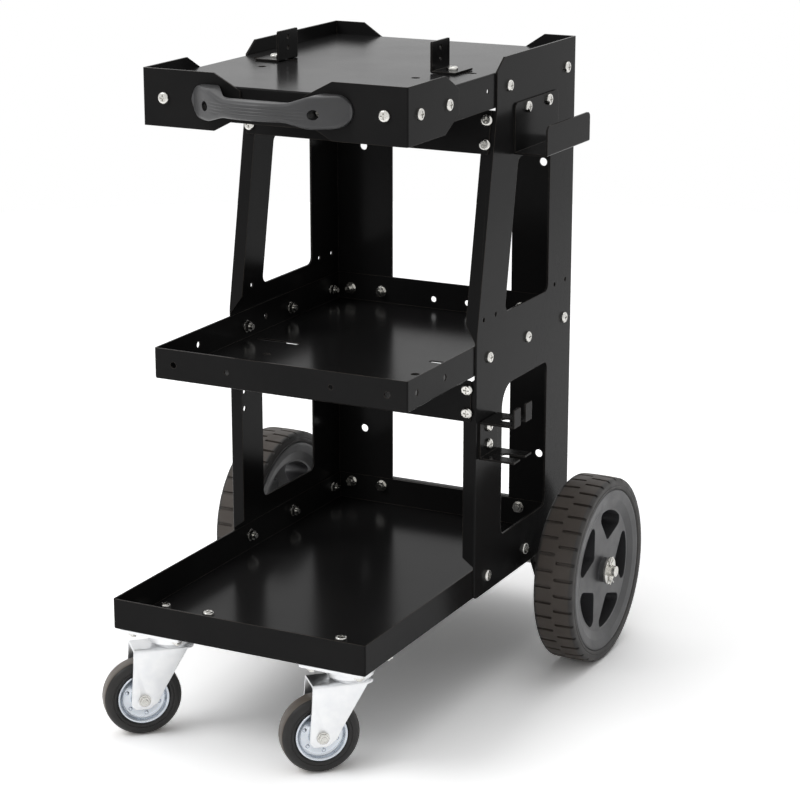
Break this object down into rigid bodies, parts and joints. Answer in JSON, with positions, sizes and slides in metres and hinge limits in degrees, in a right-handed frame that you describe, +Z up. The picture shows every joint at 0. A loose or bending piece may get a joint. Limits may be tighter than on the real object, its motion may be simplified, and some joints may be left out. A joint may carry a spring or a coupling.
{
  "type": "welding trolley",
  "caption": "Three-shelf workshop trolley for a welding machine, with pull handle, two large rear wheels, swivelling front casters, a cable hook and a slotted torch holder.",
  "frame": {"origin": "on the ground, at the bottom centre of the whole trolley's box at rest", "axes": "+Z up, -Y to the front with the pull handle and the casters, +X to the side with the cable hook"},
  "size_m": [0.4584, 0.5902, 0.6903],
  "materials": {
    "powder_coat": "gloss black powder coat, lightly textured",
    "handle_plastic": "dark grey moulded plastic, fine ribs",
    "zinc_fastener": "bright zinc",
    "zinc_plate": "bright zinc on pressed steel",
    "caster_rim_metal": "pressed zinc disc",
    "caster_rubber": "smooth black rubber",
    "bearing_plastic": "plain black nylon",
    "wheel_rubber": "charcoal tyre with block tread",
    "hub_plastic": "charcoal moulded hub"
  },
  "bodies": {
    "cart": {"accessory_nuts": "zinc_fastener", "accessory_screws": "zinc_fastener", "axle_spacers": "zinc_fastener", "axle_washers": "zinc_fastener", "bottle_platform": "powder_coat", "bottom_tray": "powder_coat", "brace_bolts": "zinc_fastener", "brace_nuts": "zinc_fastener", "cable_hook": "powder_coat", "caster_mount_bolts": "zinc_fastener", "caster_mount_nuts": "zinc_fastener", "cotter_pins": "zinc_fastener", "guard_nuts": "zinc_fastener", "guard_screws": "zinc_fastener", "handle_nuts": "zinc_fastener", "handle_screws": "zinc_fastener", "left_caster_plate": "zinc_plate", "left_corner_guard": "powder_coat", "left_king_pin": "zinc_plate", "left_side_panel": "powder_coat", "middle_brace": "powder_coat", "middle_tray": "powder_coat", "panel_bolts": "zinc_fastener", "panel_nuts": "zinc_fastener", "pull_handle": "handle_plastic", "rear_axle": "zinc_fastener", "rear_bolts": "zinc_fastener", "rear_nuts": "zinc_fastener", "right_caster_plate": "zinc_plate", "right_corner_guard": "powder_coat", "right_king_pin": "zinc_plate", "right_side_panel": "powder_coat", "top_shelf": "powder_coat", "torch_holder": "powder_coat", "upper_brace": "powder_coat"},
    "left_swivel": {"left_caster_bearing": "zinc_plate", "left_caster_fork": "zinc_plate", "left_caster_wheel_bolt": "zinc_fastener", "left_caster_wheel_nut": "zinc_fastener"},
    "left_caster_wheel": {"left_caster_tyre": "caster_rubber", "left_caster_rim": "caster_rim_metal", "left_caster_bush": "bearing_plastic"},
    "left_rear_wheel": {"left_rear_tyre": "wheel_rubber", "left_rear_hub": "hub_plastic", "left_rear_bush": "bearing_plastic"},
    "left_stop": {"left_stop_bracket": "powder_coat", "left_stop_fixings": "zinc_fastener"},
    "right_swivel": {"right_caster_bearing": "zinc_plate", "right_caster_fork": "zinc_plate", "right_caster_wheel_bolt": "zinc_fastener", "right_caster_wheel_nut": "zinc_fastener"},
    "right_caster_wheel": {"right_caster_tyre": "caster_rubber", "right_caster_rim": "caster_rim_metal", "right_caster_bush": "bearing_plastic"},
    "right_rear_wheel": {"right_rear_tyre": "wheel_rubber", "right_rear_hub": "hub_plastic", "right_rear_bush": "bearing_plastic"},
    "right_stop": {"right_stop_bracket": "powder_coat", "right_stop_fixings": "zinc_fastener"}
  },
  "joints": [
    {"name": "left_caster_swivel", "type": "hinge", "parent": "cart", "child": "left_swivel", "pos_m": [-0.103, -0.24042, 0.1], "axis": [0, 0, 1], "continuous": true},
    {"name": "left_caster_wheel_spin", "type": "hinge", "parent": "left_swivel", "child": "left_caster_wheel", "pos_m": [-0.1264, -0.26224, 0.04], "axis": [-0.682, 0.7314, 0], "continuous": true},
    {"name": "left_rear_wheel_spin", "type": "hinge", "parent": "cart", "child": "left_rear_wheel", "pos_m": [-0.1965, 0.13958, 0.102], "axis": [1, 0, 0], "continuous": true},
    {"name": "left_stop_slide", "type": "slide", "parent": "cart", "child": "left_stop", "axis": [1, 0, 0], "range_m": [-0.02, 0.02]},
    {"name": "right_caster_swivel", "type": "hinge", "parent": "cart", "child": "right_swivel", "pos_m": [0.103, -0.24042, 0.1], "axis": [0, 0, 1], "continuous": true},
    {"name": "right_caster_wheel_spin", "type": "hinge", "parent": "right_swivel", "child": "right_caster_wheel", "pos_m": [0.0796, -0.26224, 0.04], "axis": [-0.682, 0.7314, 0], "continuous": true},
    {"name": "right_rear_wheel_spin", "type": "hinge", "parent": "cart", "child": "right_rear_wheel", "pos_m": [0.1965, 0.13958, 0.102], "axis": [1, 0, 0], "continuous": true},
    {"name": "right_stop_slide", "type": "slide", "parent": "cart", "child": "right_stop", "axis": [1, 0, 0], "range_m": [-0.02, 0.02]}
  ]
}
